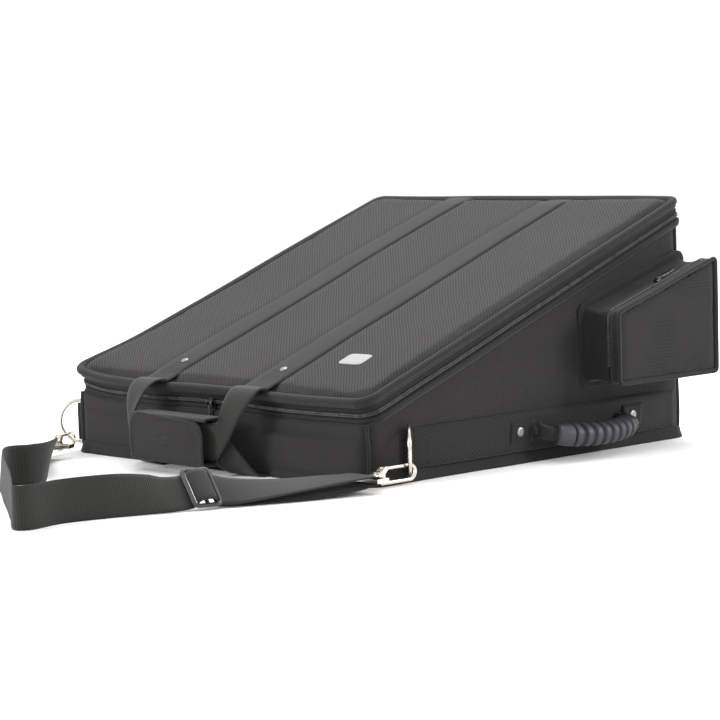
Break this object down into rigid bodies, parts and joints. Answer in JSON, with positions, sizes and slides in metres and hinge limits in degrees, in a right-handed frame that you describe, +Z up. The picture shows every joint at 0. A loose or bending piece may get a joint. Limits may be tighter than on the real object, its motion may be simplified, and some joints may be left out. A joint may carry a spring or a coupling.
{
  "type": "padded carry bag",
  "caption": "Wedge-shaped padded fabric carry bag with a hinged zipped lid, web carry handles, a moulded side handle, a zipped side pocket and a clip-on shoulder strap.",
  "frame": {"origin": "middle of the base, on the surface that the bag stands on", "axes": "+Z up, +Y towards the tall hinge end, +X towards the side with the pocket and the moulded handle"},
  "size_m": [0.5404, 0.843, 0.2608],
  "materials": {
    "bag_fabric": "coarse woven nylon, matt with a faint sheen",
    "edge_binding": "folded binding tape, matt",
    "lining": "smooth lining cloth",
    "zip_tape": "woven zip tape, matt",
    "zip_coil": "glossy black coil",
    "zip_metal": "gloss black enamel",
    "webbing": "ribbed webbing, slight sheen",
    "rivet_metal": "bright nickel",
    "nickel": "bright nickel plate",
    "grip_plastic": "soft grey moulding, satin",
    "adjuster_plastic": "dark grey moulding",
    "label": "plain pale tab"
  },
  "bodies": {
    "bag": {"base_panel": "bag_fabric", "front_panel": "bag_fabric", "back_panel": "bag_fabric", "left_side_panel": "bag_fabric", "right_side_panel": "bag_fabric", "body_lining": "lining", "base_hem": "edge_binding", "corner_binding": "edge_binding", "body_zip_tape": "zip_tape", "body_zip_coil": "zip_coil", "body_piping": "edge_binding", "hinge_strip": "edge_binding", "lower_handle": "webbing", "base_straps": "webbing", "side_band_right": "webbing", "side_band_left": "webbing", "handle_patches": "webbing", "handle_rivets": "rivet_metal", "pocket_back": "bag_fabric", "pocket_gusset": "bag_fabric", "pocket_zip_fixed": "zip_coil", "hook_base_right": "nickel", "hook_base_left": "nickel", "shoulder_strap": "webbing", "strap_return": "webbing", "strap_adjuster": "adjuster_plastic"},
    "lid": {"lid_panel": "bag_fabric", "lid_lining": "lining", "lid_binding": "edge_binding", "lid_zip_tape": "zip_tape", "lid_zip_coil": "zip_coil", "lid_strap_left": "webbing", "lid_strap_right": "webbing", "lid_rivets": "rivet_metal", "lid_label": "label"},
    "carry_handle": {"upper_handle": "webbing", "handle_wrap": "bag_fabric"},
    "wrap_flap": {"wrap_flap": "bag_fabric"},
    "slider_left": {"zip_slider_left": "zip_metal"},
    "slider_right": {"zip_slider_right": "zip_metal"},
    "pull_left": {"zip_pull_left": "zip_metal"},
    "pull_right": {"zip_pull_right": "zip_metal"},
    "side_handle": {"side_handle_webbing": "webbing", "side_handle_grip": "grip_plastic"},
    "pocket_flap": {"pocket_front": "bag_fabric", "pocket_zip_moving": "zip_coil"},
    "pocket_slider": {"pocket_slider": "zip_metal"},
    "pocket_pull": {"pocket_pull": "zip_metal"},
    "ring_right": {"d_ring_right": "nickel"},
    "ring_left": {"d_ring_left": "nickel"},
    "hook_right": {"hook_right": "nickel", "gate_pin_right": "nickel"},
    "hook_left": {"hook_left": "nickel", "gate_pin_left": "nickel"},
    "gate_right": {"hook_gate_right": "nickel"},
    "gate_left": {"hook_gate_left": "nickel"}
  },
  "joints": [
    {"name": "lid_hinge", "type": "hinge", "parent": "bag", "child": "lid", "pos_m": [0, 0.23385, 0.24257], "axis": [-1, 0, 0], "range_deg": [0, 110]},
    {"name": "slider_left_slide", "type": "slide", "parent": "bag", "child": "slider_left", "axis": [1, 0, 0], "range_m": [-0.14, 0]},
    {"name": "slider_right_slide", "type": "slide", "parent": "bag", "child": "slider_right", "axis": [1, 0, 0], "range_m": [0, 0.14]},
    {"name": "pull_left_swing", "type": "hinge", "parent": "slider_left", "child": "pull_left", "pos_m": [-0.002, -0.23434, 0.06775], "axis": [-1, 0, 0], "range_deg": [0, 35]},
    {"name": "pull_right_swing", "type": "hinge", "parent": "slider_right", "child": "pull_right", "pos_m": [0.024, -0.23434, 0.06775], "axis": [-1, 0, 0], "range_deg": [0, 35]},
    {"name": "carry_handle_swing", "type": "hinge", "parent": "lid", "child": "carry_handle", "pos_m": [0, -0.2389, 0.0882], "axis": [-1, 0, 0], "range_deg": [0, 90]},
    {"name": "wrap_flap_hinge", "type": "hinge", "parent": "carry_handle", "child": "wrap_flap", "pos_m": [-0.008, -0.29, 0.011], "axis": [1, 0, 0], "range_deg": [0, 90]},
    {"name": "side_handle_swing", "type": "hinge", "parent": "bag", "child": "side_handle", "pos_m": [0.24, 0.059, 0.033], "axis": [0, -1, 0], "range_deg": [0, 60]},
    {"name": "pocket_flap_hinge", "type": "hinge", "parent": "bag", "child": "pocket_flap", "pos_m": [0.286, 0.149, 0.075], "axis": [0, 1, 0], "range_deg": [0, 60]},
    {"name": "pocket_slider_slide", "type": "slide", "parent": "bag", "child": "pocket_slider", "axis": [0, 0.9563, 0.2924], "range_m": [-0.06, 0.05]},
    {"name": "pocket_pull_swing", "type": "hinge", "parent": "pocket_slider", "child": "pocket_pull", "pos_m": [0.264, 0.15516, 0.17698], "axis": [1, 0, 0], "range_deg": [0, 120]},
    {"name": "ring_right_swing", "type": "hinge", "parent": "bag", "child": "ring_right", "pos_m": [0.2368, -0.184, 0.0325], "axis": [0, 0, 1], "range_deg": [-2, 2]},
    {"name": "ring_left_swing", "type": "hinge", "parent": "bag", "child": "ring_left", "pos_m": [-0.2368, -0.225, 0.0325], "axis": [0, 0, 1], "range_deg": [-2, 2]},
    {"name": "hook_right_swivel", "type": "hinge", "parent": "bag", "child": "hook_right", "pos_m": [0.24528, -0.19177, 0.01258], "axis": [0, 1, 0], "range_deg": [-3, 3]},
    {"name": "gate_right_hinge", "type": "hinge", "parent": "hook_right", "child": "gate_right", "pos_m": [0.24528, -0.22677, 0.01958], "axis": [-1, 0, 0], "range_deg": [0, 20], "stiffness_Nm_per_rad": 0.05, "springref_deg": -17.19},
    {"name": "hook_left_swivel", "type": "hinge", "parent": "bag", "child": "hook_left", "pos_m": [-0.2446, -0.23345, 0.01258], "axis": [-0.515, 0.8572, 0], "range_deg": [-3, 3]},
    {"name": "gate_left_hinge", "type": "hinge", "parent": "hook_left", "child": "gate_left", "pos_m": [-0.22657, -0.26345, 0.01958], "axis": [-0.8572, -0.515, 0], "range_deg": [0, 20], "stiffness_Nm_per_rad": 0.05, "springref_deg": -17.19}
  ]
}
